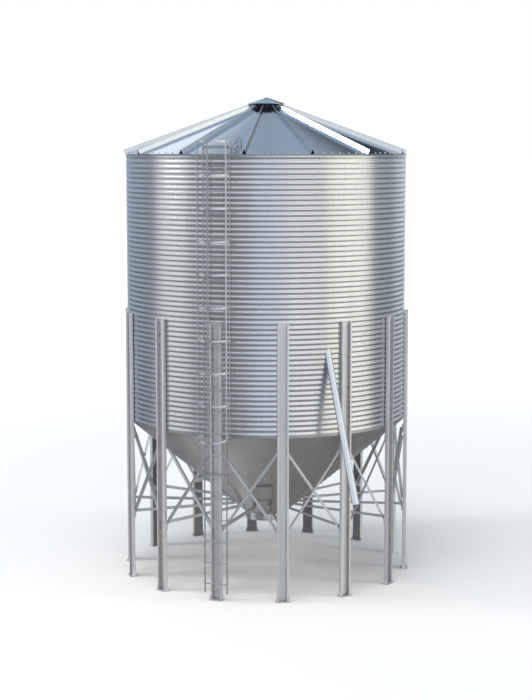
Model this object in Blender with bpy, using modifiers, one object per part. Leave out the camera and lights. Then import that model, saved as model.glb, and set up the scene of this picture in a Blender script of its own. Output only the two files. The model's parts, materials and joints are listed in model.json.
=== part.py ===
"""Grain silo: a round corrugated bin with a ribbed roof and a hopper bottom, standing on fourteen legs.

Lengths are in metres, +Z is up and the ground is at z = 0. The ladder is at the front, on the -Y side.
An azimuth is an angle about the silo's axis in degrees, 0 at -Y and growing towards +X. Each piece is
first modelled at azimuth 0, so that its local X is the tangent and its local -Y points outwards.
"""

from math import asin, atan, cos, degrees, pi, radians, sin, tan

import bmesh
import bpy
from mathutils import Vector

# Clearance between pieces that touch, and the distance at which a mesh's own points are one
GAP = 0.0003
MERGE = 1e-5

# Inset that keeps two faces within one piece out of the same plane
INSET = 0.0005

# Bin: outer radius, thickness of the modelled sheet, and the heights of its bands
WALL_RADIUS = 2.75
WALL_THICKNESS = 0.012
FACETS = 56
LEG_COUNT = 14
BAY = 360 / LEG_COUNT
SHEET_COUNT = 7
EAVE_HEIGHT = 8.25
EAVE_BAND = 0.05
RING_BAND = 0.06
RING_DEPTH = 0.03

# Hopper: a cone that starts under the ring and ends at the outlet. Margin and cover are how far the
# solid that trims other pieces to the cone reaches past its rim and above it
HOPPER_ANGLE = 40
HOPPER_APEX = 0.7645
HOPPER_THICKNESS = 0.008
HOPPER_TOP = HOPPER_APEX + WALL_RADIUS * tan(radians(HOPPER_ANGLE))
HOPPER_MARGIN = 0.05
HOPPER_COVER = 0.5
OUTLET_RADIUS = 0.415
OUTLET_THICKNESS = 0.03
OUTLET_BOTTOM = 0.978
OUTLET_TOP = HOPPER_APEX + OUTLET_RADIUS * tan(radians(HOPPER_ANGLE))

# Roof: sheets with a raised rib near the middle of each bay, a collar and a cap
ROOF_SLOPE = 0.36
ROOF_THICKNESS = 0.0085
ROOF_OVERHANG = 0.015
ROOF_HOLE = 0.25
RIB_HEIGHT = 0.08
RIB_BASE = 0.075
RIB_TOP = 0.018
RIB_SHIFT = -1.7
RIB_INNER_END = 0.27
COLLAR_THICKNESS = 0.01
COLLAR_BOTTOM = 9.12
CAP_RADIUS = 0.37
CAP_APEX = 9.35
CAP_EDGE = 9.228
CAP_THICKNESS = 0.008

# Legs: lipped channels, open outwards, on base plates
LEG_TOP = 5.20
LEG_WIDTH = 0.213
LEG_DEPTH = 0.070
LEG_LIP = 0.034
LEG_THICKNESS = 0.005
PLATE_WIDTH = 0.264
PLATE_DEPTH = 0.15
PLATE_THICKNESS = 0.012
CLEAT_HEIGHT = 0.09
CLEAT_TIP = 0.006
CLEAT_MARGIN = 0.002
CLEAT_SHARE = 0.8

# Bracing: crossed angles in each bay, and a radial tie from each leg to the hopper
BRACE_LOW = 1.26
BRACE_HIGH = 2.85
BRACE_WIDTH = 0.05
BRACE_THICKNESS = 0.006
BRACE_OFFSET = 0.055
BRACE_TRIM = 0.16
BRACE_BACK_TRIM = 0.02
BRACE_BITE = 0.001
LUG_THICKNESS = 0.016
LUG_INNER = 0.030
LUG_OUTER = 0.100
LUG_HEIGHT = 0.14
LUG_BITE = 0.75
TIE_HEIGHT = 1.33
TIE_PAD = 0.10
TIE_PAD_THICKNESS = 0.024

# Ladder and safety cage, in front of the leg at azimuth 0
LADDER_RADIUS = 2.90
LADDER_SHIFT = 0.035
LADDER_WIDTH = 0.45
LADDER_BOTTOM = 0.165
LADDER_TOP = 8.50
STRINGER_WIDTH = 0.05
STRINGER_THICKNESS = 0.012
RUNG_RADIUS = 0.0125
RUNG_FIRST = 0.338
RUNG_STEP = 0.4036
RUNG_COUNT = 20
BRACKET_HEIGHTS = (2.40, 4.85, 6.60, 8.05)
STEP_HEIGHT = 8.36
STEP_REACH = 0.24
STEP_PLATE = 0.012
STEP_LIP = 0.05
STEP_RISE = 0.02
CAGE_RADIUS = 0.312
CAGE_CENTRE = 2.96
CAGE_BAR = 0.036
CAGE_THICKNESS = 0.006
HOOP_FIRST = 3.13
HOOP_STEP = 0.5943
HOOP_COUNT = 10
HOOP_DROOP = 0.08
HOOP_FACETS = 12
STRAP_ANGLES = (-90, -67.5, 0, 67.5, 90)
STRAP_WIDTH = 0.032

# Grab rail on the roof beside the ladder's head
RAIL_AZIMUTH = 6.7
RAIL_OUTER = 2.74
RAIL_LENGTH = 0.62
RAIL_SPACING = 0.07
RAIL_RISE = 0.09
RAIL_BAR = 0.014
RAIL_FOOT = 0.03
RAIL_FOOT_INSET = 0.08
RAIL_CROSS_SHARES = (0.02, 0.5, 0.98)

# Inspection hatch on the hopper
HATCH_AZIMUTH = 17.0
HATCH_RADIUS = 1.125
HATCH_WIDTH = 0.34
HATCH_LENGTH = 0.59
HATCH_BORDER = 0.035
HATCH_HEIGHT = 0.035
HATCH_SKIRT = 0.13
HATCH_RECESS = 0.012
HATCH_ROOT = 0.02
SKIRT_RECESS = 0.01

# Inclined tube on the wall
TUBE_AZIMUTH = 44.0
TUBE_RADIUS = 0.0635
TUBE_THICKNESS = 0.008
TUBE_TOP = 4.543
TUBE_END_RADIUS = 3.858
TUBE_END_HEIGHT = 2.006
TUBE_SIDES = 24
TUBE_OVERRUN = 0.3
BORE_OVERRUN = 0.1
TUBE_TRIM_HALF = 1.0

# The origin lies under the centre of the outer box, so the axis stands back from it: the cage reaches
# further to the front than the base plates do to the back
LEG_INNER = WALL_RADIUS + GAP
PLATE_CENTRE = LEG_INNER + LEG_DEPTH / 2
FRONT_REACH = CAGE_CENTRE + CAGE_RADIUS + CAGE_THICKNESS / 2
BACK_REACH = PLATE_CENTRE + PLATE_DEPTH / 2
AXIS_Y = (FRONT_REACH - BACK_REACH) / 2

COLOURS = {
    "galvanised_sheet": ((0.62, 0.64, 0.66, 1), 0.32, 1.0),
    "roof_sheet": ((0.55, 0.60, 0.66, 1), 0.35, 1.0),
    "hopper_plate": ((0.32, 0.32, 0.33, 1), 0.5, 0.9),
    "leg_steel": ((0.45, 0.45, 0.46, 1), 0.45, 0.9),
    "bracing_steel": ((0.50, 0.50, 0.51, 1), 0.45, 0.9),
    "ladder_steel": ((0.58, 0.59, 0.61, 1), 0.4, 0.95),
    "tube_steel": ((0.66, 0.71, 0.76, 1), 0.22, 1.0),
}


def clear_scene():
    for old in list(bpy.data.objects):
        bpy.data.objects.remove(old, do_unlink=True)


def new_collection(name):
    collection = bpy.data.collections.new(name)
    bpy.context.scene.collection.children.link(collection)
    return collection


def new_material(name):
    colour, roughness, metallic = COLOURS[name]
    material = bpy.data.materials.new(name)
    material.use_nodes = True
    shader = material.node_tree.nodes["Principled BSDF"]
    shader.inputs["Base Color"].default_value = colour
    shader.inputs["Roughness"].default_value = roughness
    shader.inputs["Metallic"].default_value = metallic
    return material


def only_select(obj):
    bpy.ops.object.select_all(action="DESELECT")
    obj.select_set(True)
    bpy.context.view_layer.objects.active = obj


def bake(obj):
    """Turn an object with its modifiers and placing into a plain mesh object at the world's origin."""
    bpy.context.view_layer.update()
    evaluated = obj.evaluated_get(bpy.context.evaluated_depsgraph_get())
    mesh = bpy.data.meshes.new_from_object(evaluated)
    mesh.transform(obj.matrix_world)
    model = bmesh.new()
    model.from_mesh(mesh)
    bmesh.ops.remove_doubles(model, verts=model.verts, dist=MERGE)
    bmesh.ops.recalc_face_normals(model, faces=model.faces)
    model.to_mesh(mesh)
    model.free()
    baked = bpy.data.objects.new(obj.name, mesh)
    bpy.context.scene.collection.objects.link(baked)
    bpy.data.objects.remove(obj, do_unlink=True)
    return baked


def combine(base, others, operation="UNION"):
    """Join, or cut, one solid with others by exact Booleans, and use the others up."""
    for other in others:
        modifier = base.modifiers.new("combine", "BOOLEAN")
        modifier.operation = operation
        modifier.object = other
        modifier.solver = "EXACT"
        only_select(base)
        bpy.ops.object.modifier_apply(modifier=modifier.name)
        bpy.data.objects.remove(other, do_unlink=True)
    return base


def box(size, centre, turn=(0, 0, 0)):
    bpy.ops.mesh.primitive_cube_add(size=1, location=centre, rotation=turn)
    cube = bpy.context.object
    cube.scale = size
    return bake(cube)


def rod(radius, length, centre, turn=(0, 0, 0), sides=8):
    bpy.ops.mesh.primitive_cylinder_add(
        vertices=sides, radius=radius, depth=length, location=centre, rotation=turn
    )
    return bake(bpy.context.object)


def turned_ring(section, facets=FACETS):
    """A section of (radius, height) points turned round the axis, closed or from axis to axis."""
    mesh = bpy.data.meshes.new("section")
    points = [(r, 0, z) for r, z in section]
    edges = [(i, i + 1) for i in range(len(points) - 1)]
    if section[0][0] > 0:
        edges.append((len(points) - 1, 0))
    mesh.from_pydata(points, edges, [])
    ring = bpy.data.objects.new("ring", mesh)
    bpy.context.scene.collection.objects.link(ring)
    ring.rotation_euler.z = radians(-90)
    screw = ring.modifiers.new("turn", "SCREW")
    screw.angle = 2 * pi
    screw.steps = facets
    screw.render_steps = facets
    screw.use_merge_vertices = True
    screw.merge_threshold = MERGE
    return bake(ring)


def turned_segment(section, start, sweep, steps):
    """A closed section turned from one azimuth through part of a circle, with flat ends."""
    model = bmesh.new()
    first = radians(start - 90)
    verts = [model.verts.new((r * cos(first), r * sin(first), z)) for r, z in section]
    edges = [model.edges.new((verts[i - 1], verts[i])) for i in range(len(verts))]
    bmesh.ops.spin(
        model, geom=verts + edges, cent=(0, 0, 0), axis=(0, 0, 1), angle=radians(sweep), steps=steps
    )
    open_edges = [edge for edge in model.edges if edge.is_boundary]
    bmesh.ops.holes_fill(model, edges=open_edges, sides=0)
    bmesh.ops.recalc_face_normals(model, faces=model.faces)
    mesh = bpy.data.meshes.new("segment")
    model.to_mesh(mesh)
    model.free()
    segment = bpy.data.objects.new("segment", mesh)
    bpy.context.scene.collection.objects.link(segment)
    return segment


def outline_solid(points, length):
    """A flat outline in X and Y, raised along +Z from z = 0."""
    curve = bpy.data.curves.new("outline", "CURVE")
    curve.dimensions = "2D"
    curve.fill_mode = "BOTH"
    curve.extrude = length / 2
    spline = curve.splines.new("POLY")
    spline.points.add(len(points) - 1)
    for point, (x, y) in zip(spline.points, points):
        point.co = (x, y, 0, 1)
    spline.use_cyclic_u = True
    outline = bpy.data.objects.new("outline", curve)
    outline.location.z = length / 2
    bpy.context.scene.collection.objects.link(outline)
    return bake(outline)


def ribbon(path, bottom, height, thickness):
    """A flat bar standing on edge along an open path of (x, y, drop) points."""
    model = bmesh.new()
    verts = [model.verts.new((x, y, bottom - drop)) for x, y, drop in path]
    edges = [model.edges.new(pair) for pair in zip(verts, verts[1:])]
    raised = bmesh.ops.extrude_edge_only(model, edges=edges)
    tops = [item for item in raised["geom"] if isinstance(item, bmesh.types.BMVert)]
    bmesh.ops.translate(model, verts=tops, vec=(0, 0, height))
    mesh = bpy.data.meshes.new("ribbon")
    model.to_mesh(mesh)
    model.free()
    bar = bpy.data.objects.new("ribbon", mesh)
    bpy.context.scene.collection.objects.link(bar)
    solidify = bar.modifiers.new("thickness", "SOLIDIFY")
    solidify.thickness = thickness
    solidify.offset = 0
    solidify.use_even_offset = True
    return bake(bar)


def place(obj, name, material, azimuth=0.0):
    """Name a finished piece, give it its material and hang it on the silo's axis at its azimuth."""
    obj.name = name
    obj.data.name = name
    obj.data.materials.clear()
    obj.data.materials.append(materials[material])
    for collection in list(obj.users_collection):
        collection.objects.unlink(obj)
    parts.objects.link(obj)
    obj.parent = axis
    obj.rotation_euler.z = radians(azimuth)
    return obj


def smooth(obj, angle=30):
    obj.data.shade_smooth()
    obj.data.set_sharp_from_angle(angle=radians(angle))
    return obj


def roof_underside(r):
    return EAVE_HEIGHT + (WALL_RADIUS - r) * ROOF_SLOPE


def cap_underside(r):
    return CAP_APEX - CAP_THICKNESS - r * (CAP_APEX - CAP_EDGE) / CAP_RADIUS


def hopper_surface(r):
    return HOPPER_APEX + r * tan(radians(HOPPER_ANGLE))


def hopper_cutter():
    """The hopper's outer surface as a solid cone that is larger by the clearance."""
    lower = GAP / cos(radians(HOPPER_ANGLE))
    rim = WALL_RADIUS + HOPPER_MARGIN
    high = hopper_surface(rim)
    section = [
        (0, high + HOPPER_COVER),
        (rim, high + HOPPER_COVER),
        (rim, high - lower),
        (0, HOPPER_APEX - lower),
    ]
    return turned_ring(section)


def build_wall():
    bottom = HOPPER_TOP + RING_BAND + 2 * GAP
    top = EAVE_HEIGHT - EAVE_BAND - 2 * GAP
    inner = WALL_RADIUS - WALL_THICKNESS
    section = [(WALL_RADIUS, top), (WALL_RADIUS, bottom), (inner, bottom), (inner, top)]
    sweep = 360 / SHEET_COUNT
    margin = degrees(GAP / 2 / inner)
    for number in range(SHEET_COUNT):
        sheet = turned_segment(section, margin, sweep - 2 * margin, FACETS // SHEET_COUNT)
        place(smooth(sheet), f"wall_sheet_{number + 1}", "galvanised_sheet", number * sweep)


def build_rings():
    inner = WALL_RADIUS - RING_DEPTH
    low = HOPPER_TOP + GAP
    high = low + RING_BAND
    ring = turned_ring([(WALL_RADIUS, high), (WALL_RADIUS, low), (inner, low), (inner, high)])
    place(smooth(ring), "hopper_ring", "galvanised_sheet")
    high = EAVE_HEIGHT - GAP
    low = high - EAVE_BAND
    ring = turned_ring([(WALL_RADIUS, high), (WALL_RADIUS, low), (inner, low), (inner, high)])
    place(smooth(ring), "eave_ring", "galvanised_sheet")


def roof_rib(azimuth):
    """A raised rib, wider at its foot, that runs up the slope at the given azimuth."""
    outer = WALL_RADIUS + ROOF_OVERHANG
    run = outer - RIB_INNER_END
    lean = atan(ROOF_SLOPE)
    foot = ROOF_THICKNESS / 2
    height = (RIB_HEIGHT + foot) * cos(lean)
    bpy.ops.mesh.primitive_cube_add(size=1)
    rib = bpy.context.object
    model = bmesh.new()
    model.from_mesh(rib.data)
    for vert in model.verts:
        width = RIB_TOP if vert.co.z > 0 else RIB_BASE
        vert.co = (vert.co.x * width, vert.co.y * run / cos(lean), (vert.co.z + 0.5) * height)
    model.to_mesh(rib.data)
    model.free()
    middle = (outer + RIB_INNER_END) / 2
    rib.rotation_euler = (lean, 0, 0)
    rib.location = (0, -middle, roof_underside(middle) + foot)
    rib = bake(rib)
    rib.rotation_euler.z = radians(azimuth)
    return bake(rib)


def build_roof():
    outer = WALL_RADIUS + ROOF_OVERHANG
    low = roof_underside(outer)
    high = roof_underside(ROOF_HOLE)
    section = [
        (outer, low + ROOF_THICKNESS),
        (outer, low),
        (ROOF_HOLE, high),
        (ROOF_HOLE, high + ROOF_THICKNESS),
    ]
    sweep = 360 / SHEET_COUNT
    margin = degrees(GAP)
    for number in range(SHEET_COUNT):
        sheet = turned_segment(section, margin, sweep - 2 * margin, FACETS // SHEET_COUNT)
        combine(sheet, [roof_rib(0.5 * BAY + RIB_SHIFT), roof_rib(1.5 * BAY + RIB_SHIFT)])
        place(sheet, f"roof_sheet_{number + 1}", "roof_sheet", number * sweep)
    outer = ROOF_HOLE - GAP
    inner = outer - COLLAR_THICKNESS
    section = [
        (outer, cap_underside(outer) - GAP),
        (outer, COLLAR_BOTTOM),
        (inner, COLLAR_BOTTOM),
        (inner, cap_underside(inner) - GAP),
    ]
    place(smooth(turned_ring(section)), "roof_collar", "hopper_plate")
    section = [
        (0, CAP_APEX),
        (CAP_RADIUS, CAP_EDGE),
        (CAP_RADIUS, CAP_EDGE - CAP_THICKNESS),
        (0, CAP_APEX - CAP_THICKNESS),
    ]
    place(smooth(turned_ring(section)), "roof_cap", "roof_sheet")


def build_hopper():
    inset = HOPPER_THICKNESS / sin(radians(HOPPER_ANGLE))
    section = [
        (WALL_RADIUS, HOPPER_TOP),
        (OUTLET_RADIUS, OUTLET_TOP),
        (OUTLET_RADIUS - inset, OUTLET_TOP),
        (WALL_RADIUS - inset, HOPPER_TOP),
    ]
    place(smooth(turned_ring(section)), "hopper_cone", "hopper_plate")
    inner = OUTLET_RADIUS - OUTLET_THICKNESS
    high = OUTLET_TOP - GAP
    section = [(OUTLET_RADIUS, high), (OUTLET_RADIUS, OUTLET_BOTTOM), (inner, OUTLET_BOTTOM), (inner, high)]
    place(smooth(turned_ring(section)), "outlet_collar", "galvanised_sheet")


def build_hatch():
    """A bordered door that lies on the hopper, with a narrow skirt of two rails below it."""
    lean = radians(HOPPER_ANGLE)
    border = HATCH_BORDER
    slant = Vector((0, -cos(lean), sin(lean)))
    normal = Vector((0, -sin(lean), -cos(lean)))
    centre = Vector((0, -HATCH_RADIUS, hopper_surface(HATCH_RADIUS)))
    turn = (-lean, 0, 0)

    def plate(width, length, height, across, along):
        root = HATCH_ROOT + height / 10
        middle = centre + slant * along + normal * (height - root) / 2
        return box((width, length, height + root), middle + Vector((across, 0, 0)), turn)

    side = (HATCH_WIDTH - border) / 2
    end = (HATCH_LENGTH - border) / 2
    field = HATCH_HEIGHT - HATCH_RECESS
    hatch = plate(HATCH_WIDTH - border, HATCH_LENGTH - border, field, 0, 0)
    rims = [
        plate(border, HATCH_LENGTH, HATCH_HEIGHT, -side, 0),
        plate(border, HATCH_LENGTH, HATCH_HEIGHT, side, 0),
        plate(HATCH_WIDTH, border, HATCH_HEIGHT, 0, -end),
        plate(HATCH_WIDTH, border, HATCH_HEIGHT, 0, end),
    ]
    skirt = -HATCH_LENGTH / 2 - HATCH_SKIRT / 2
    low = HATCH_HEIGHT - SKIRT_RECESS
    length = HATCH_SKIRT + border / 2
    rails = [plate(border / 2, length, low, x, skirt) for x in (-side, side)]
    combine(hatch, rims + rails)
    combine(hatch, [turn_back(hopper_cutter(), HATCH_AZIMUTH)], "DIFFERENCE")
    place(hatch, "inspection_hatch", "leg_steel", HATCH_AZIMUTH)


def turn_back(obj, azimuth):
    """Turn a full ring back, so that a piece modelled at azimuth 0 meets the right facets."""
    obj.rotation_euler.z = -radians(azimuth)
    return bake(obj)


def build_legs():
    half = LEG_WIDTH / 2
    thin = LEG_THICKNESS
    inner = -LEG_INNER
    outer = inner - LEG_DEPTH
    lip = half - LEG_LIP
    right = [
        (half - thin, inner - thin),
        (half - thin, outer + thin),
        (lip, outer + thin),
        (lip, outer),
        (half, outer),
        (half, inner),
    ]
    left = [(-x, y) for x, y in reversed(right)]
    channel = outline_solid(left + right, LEG_TOP - PLATE_THICKNESS / 2)
    channel.location.z = PLATE_THICKNESS / 2
    channel = bake(channel)
    plate = box((PLATE_WIDTH, PLATE_DEPTH, PLATE_THICKNESS), (0, -PLATE_CENTRE, PLATE_THICKNESS / 2))
    cleats = [foot_cleat(half - thin / 2, 1), foot_cleat(half - thin / 2, -1)]
    leg = combine(channel, [plate] + cleats)
    for number in range(LEG_COUNT):
        copy = leg if number == 0 else bpy.data.objects.new("leg", leg.data)
        if number:
            bpy.context.scene.collection.objects.link(copy)
        place(copy, f"leg_{number + 1:02d}", "leg_steel", number * BAY)


def foot_cleat(start, side):
    """A small sloped stiffener that stands on the base plate against a leg's flange."""
    reach = PLATE_WIDTH / 2 - CLEAT_MARGIN - start
    low = PLATE_THICKNESS / 2
    bpy.ops.mesh.primitive_cube_add(size=1)
    cleat = bpy.context.object
    model = bmesh.new()
    model.from_mesh(cleat.data)
    for vert in model.verts:
        far = vert.co.x * side > 0
        top = vert.co.z > 0
        out = CLEAT_TIP if top else reach
        x = start + (out if far else 0)
        y = vert.co.y * LEG_DEPTH * CLEAT_SHARE - PLATE_CENTRE
        vert.co = (side * x, y, low + (CLEAT_HEIGHT if top else 0))
    model.to_mesh(cleat.data)
    model.free()
    return bake(cleat)


def angle_bar(start, end, depth, inward, trim):
    """A steel angle between two points of the bay's plane: a flat leg in it and a leg square to it."""
    middle = (start + end) / 2
    run = end - start
    lean = -asin(run.z / run.length)
    thin = BRACE_THICKNESS
    flat = box((run.length, thin, BRACE_WIDTH), middle, (0, lean, 0))
    side = 1 if inward else -1
    across = Vector((0, side * (depth / 2 + thin / 2 - BRACE_BITE), 0))
    edge = Vector((sin(lean), 0, cos(lean))) * (BRACE_WIDTH / 2 - thin / 2 - INSET)
    rib = box((run.length - 2 * trim, depth + BRACE_BITE, thin), middle + across + edge, (0, lean, 0))
    return combine(flat, [rib])


def tie_bar():
    """A level steel angle from the back of the leg to the hopper, with a pad shaped to the cone."""
    pad_radius = (TIE_HEIGHT - HOPPER_APEX) / tan(radians(HOPPER_ANGLE))
    outer = LEG_INNER - GAP - LUG_THICKNESS / 2
    inner = pad_radius
    length = outer - inner
    middle = -(outer + inner) / 2
    thin = BRACE_THICKNESS
    flat = box((BRACE_WIDTH, length, thin), (0, middle, TIE_HEIGHT))
    edge = (BRACE_WIDTH - thin) / 2
    centre = (edge - INSET, middle, TIE_HEIGHT - edge - INSET)
    upright = box((thin, length - 4 * INSET, BRACE_WIDTH), centre)
    lean = -radians(HOPPER_ANGLE)
    pad = box((TIE_PAD, TIE_PAD, TIE_PAD_THICKNESS), (0, -pad_radius, TIE_HEIGHT), (lean, 0, 0))
    tie = combine(flat, [upright, pad])
    return combine(tie, [hopper_cutter()], "DIFFERENCE")


def lug(azimuth, side, height, inner=LUG_INNER):
    """A plate on the back of a leg's web, beside its middle, that takes the brace's end."""
    radius = LEG_INNER - GAP - LUG_THICKNESS / 2
    width = LUG_OUTER - inner
    plate = box((width, LUG_THICKNESS, LUG_HEIGHT), (side * (inner + width / 2), -radius, height))
    plate.rotation_euler.z = radians(azimuth)
    return bake(plate)


def build_bracing():
    """The crossed angles between two legs, and the tie of the first of them, fixed to one lug."""
    half_bay = radians(BAY / 2)
    back = LEG_INNER - GAP - LUG_THICKNESS * LUG_BITE
    reach = back * sin(half_bay) - BRACE_OFFSET * cos(half_bay)
    plane = back * cos(half_bay) + BRACE_OFFSET * sin(half_bay)
    thin = BRACE_THICKNESS
    outer_y = -(plane - INSET)
    inner_y = outer_y + thin - BRACE_BITE
    depth = BRACE_WIDTH - thin
    low_end = Vector((-reach, outer_y, BRACE_LOW))
    high_end = Vector((reach, outer_y, BRACE_HIGH))
    rising = angle_bar(low_end, high_end, depth, False, BRACE_TRIM)
    high_end = Vector((-reach, inner_y, BRACE_HIGH))
    low_end = Vector((reach, inner_y, BRACE_LOW))
    falling = angle_bar(high_end, low_end, depth, True, BRACE_BACK_TRIM)
    cross = combine(rising, [falling])
    cross.rotation_euler.z = half_bay
    cross = bake(cross)
    lugs = [
        lug(0, 1, BRACE_HIGH),
        lug(BAY, -1, BRACE_HIGH),
        lug(BAY, -1, BRACE_LOW),
        lug(0, 1, BRACE_LOW, -BRACE_WIDTH / 2),
    ]
    bracing = combine(cross, lugs + [tie_bar()])
    for number in range(LEG_COUNT):
        copy = bracing if number == 0 else bpy.data.objects.new("bracing", bracing.data)
        if number:
            bpy.context.scene.collection.objects.link(copy)
        place(copy, f"bracing_{number + 1:02d}", "bracing_steel", number * BAY)


def ladder_bracket(height):
    """A cross bar on the leg or the wall, with an arm out to each stringer."""
    on_leg = height < LEG_TOP
    seat = LEG_INNER + LEG_DEPTH + GAP if on_leg else WALL_RADIUS + GAP
    thin = CAGE_THICKNESS
    bar = box((LADDER_WIDTH, thin, CAGE_BAR), (LADDER_SHIFT, -(seat + thin / 2), height))
    arms = []
    for side in (-1, 1):
        x = LADDER_SHIFT + side * (LADDER_WIDTH - thin) / 2
        arms.append(box((thin, LADDER_RADIUS - seat, CAGE_BAR), (x, -(LADDER_RADIUS + seat) / 2, height)))
    return combine(bar, arms)


def build_ladder():
    height = LADDER_TOP - LADDER_BOTTOM
    middle = (LADDER_TOP + LADDER_BOTTOM) / 2
    spread = (LADDER_WIDTH - STRINGER_THICKNESS) / 2
    stringers = []
    for side in (-1, 1):
        place_at = (LADDER_SHIFT + side * spread, -LADDER_RADIUS, middle)
        stringers.append(box((STRINGER_THICKNESS, STRINGER_WIDTH, height), place_at))
    ladder = stringers[0]
    pieces = [stringers[1]]
    for number in range(RUNG_COUNT):
        z = RUNG_FIRST + number * RUNG_STEP
        pieces.append(rod(RUNG_RADIUS, 2 * spread, (LADDER_SHIFT, -LADDER_RADIUS, z), (0, pi / 2, 0)))
    pieces += [ladder_bracket(z) for z in BRACKET_HEIGHTS]
    step_width = 2 * spread
    step_back = LADDER_RADIUS - STEP_REACH / 2
    thin = STEP_PLATE
    pieces.append(box((step_width, STEP_REACH, thin), (LADDER_SHIFT, -step_back, STEP_HEIGHT)))
    for offset in (0.0, STEP_REACH - thin):
        y = -(LADDER_RADIUS - thin / 2 - offset)
        pieces.append(box((step_width, thin, STEP_LIP), (LADDER_SHIFT, y, STEP_HEIGHT + STEP_RISE)))
    combine(ladder, pieces)
    place(ladder, "ladder", "ladder_steel")


def hoop_path(droop):
    """The plan of a cage hoop: from one stringer round the front to the other."""
    start = LADDER_WIDTH / 2 + GAP + CAGE_THICKNESS / 2
    points = [(-start, -LADDER_RADIUS + STRINGER_WIDTH / 4), (-start, -LADDER_RADIUS - STRINGER_WIDTH / 4)]
    for step in range(HOOP_FACETS + 1):
        angle = radians(-90 + step * 180 / HOOP_FACETS)
        points.append((CAGE_RADIUS * sin(angle), -CAGE_CENTRE - CAGE_RADIUS * cos(angle)))
    points += [(start, -LADDER_RADIUS - STRINGER_WIDTH / 4), (start, -LADDER_RADIUS + STRINGER_WIDTH / 4)]
    reach = FRONT_REACH - LADDER_RADIUS
    return [(x + LADDER_SHIFT, y, droop * max(0, -y - LADDER_RADIUS) / reach) for x, y in points]


def build_cage():
    thin = CAGE_THICKNESS
    hoops = []
    for number in range(HOOP_COUNT):
        droop = HOOP_DROOP if number == 0 else 0
        z = HOOP_FIRST + number * HOOP_STEP - CAGE_BAR / 2
        hoops.append(ribbon(hoop_path(droop), z, CAGE_BAR, thin))
    top = HOOP_FIRST + (HOOP_COUNT - 1) * HOOP_STEP + CAGE_BAR / 2
    straps = []
    for angle in STRAP_ANGLES:
        turn = radians(angle)
        radius = CAGE_RADIUS - thin + 2 * INSET
        forward = (CAGE_CENTRE + radius * cos(turn) - LADDER_RADIUS) / (FRONT_REACH - LADDER_RADIUS)
        bottom = HOOP_FIRST - CAGE_BAR / 2 - HOOP_DROOP * forward
        centre = (LADDER_SHIFT + radius * sin(turn), -CAGE_CENTRE - radius * cos(turn), (top + bottom) / 2)
        straps.append(box((STRAP_WIDTH, thin, top - bottom), centre, (0, 0, turn)))
    combine(hoops[0], hoops[1:] + straps)
    place(hoops[0], "ladder_cage", "ladder_steel")


def build_roof_rail():
    """Two short bars and their cross bars that stand on four feet on the roof sheet."""
    lean = atan(ROOF_SLOPE)
    surface = Vector((0, -RAIL_OUTER, roof_underside(RAIL_OUTER) + ROOF_THICKNESS + GAP))
    slope = Vector((0, cos(lean), sin(lean)))
    normal = Vector((0, -sin(lean), cos(lean)))
    turn = (lean, 0, 0)
    bars = []
    for side in (-1, 1):
        x = side * RAIL_SPACING / 2
        middle = surface + slope * (RAIL_LENGTH / 2) + normal * RAIL_RISE
        bars.append(box((RAIL_BAR, RAIL_LENGTH, RAIL_BAR * 2), middle + Vector((x, 0, 0)), turn))
        for along in (RAIL_FOOT_INSET, RAIL_LENGTH - RAIL_FOOT_INSET):
            foot = surface + slope * along + normal * (RAIL_RISE / 2)
            bars.append(box((RAIL_BAR, RAIL_FOOT, RAIL_RISE), foot + Vector((x, 0, 0)), turn))
    for share in RAIL_CROSS_SHARES:
        middle = surface + slope * (RAIL_LENGTH * share) + normal * RAIL_RISE
        bars.append(box((RAIL_SPACING, RAIL_BAR, RAIL_BAR), middle, turn))
    rail = combine(bars[0], bars[1:])
    place(rail, "roof_grab_rail", "ladder_steel", RAIL_AZIMUTH)


def build_tube():
    """A plain round tube that leaves the wall and runs down and outwards to an open end."""
    top = Vector((0, -WALL_RADIUS, TUBE_TOP))
    end = Vector((0, -TUBE_END_RADIUS, TUBE_END_HEIGHT))
    run = end - top
    start = top - run.normalized() * TUBE_OVERRUN
    length = (end - start).length
    middle = (start + end) / 2
    lean = -atan((TUBE_END_RADIUS - WALL_RADIUS) / (TUBE_TOP - TUBE_END_HEIGHT))
    turn = (lean, 0, 0)
    tube = rod(TUBE_RADIUS, length, middle, turn, TUBE_SIDES)
    bore = rod(TUBE_RADIUS - TUBE_THICKNESS, length + BORE_OVERRUN, middle, turn, TUBE_SIDES)
    high = TUBE_TOP + TUBE_TRIM_HALF
    low = TUBE_TOP - TUBE_TRIM_HALF
    reach = WALL_RADIUS + GAP
    wall = turned_ring([(0, high), (reach, high), (reach, low), (0, low)])
    combine(tube, [bore, turn_back(wall, TUBE_AZIMUTH)], "DIFFERENCE")
    place(smooth(tube), "inclined_tube", "tube_steel", TUBE_AZIMUTH)


clear_scene()
parts = new_collection("grain_silo")
materials = {name: new_material(name) for name in COLOURS}
axis = bpy.data.objects.new("silo_axis", None)
axis.location = (0, AXIS_Y, 0)
parts.objects.link(axis)
build_wall()
build_rings()
build_roof()
build_hopper()
build_hatch()
build_legs()
build_bracing()
build_ladder()
build_cage()
build_roof_rail()
build_tube()
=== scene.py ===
# %% [markdown]
# # Dressing a grain silo
# The plain solids of the silo come in first, as a fixed frame. Everything that follows is built around
# them: the corrugated wall, the ribbed roof, the smooth hopper, the folded legs, the bolts and the metal
# finishes. Lengths are in metres and +Z is up. An azimuth is an angle round the silo's axis in degrees,
# 0 at the ladder's leg on the -Y side, and it grows towards +X.

import json
from math import atan, atan2, cos, degrees, pi, radians, sin, tan

import bmesh
import bpy
from mathutils import Matrix, Vector

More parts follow.
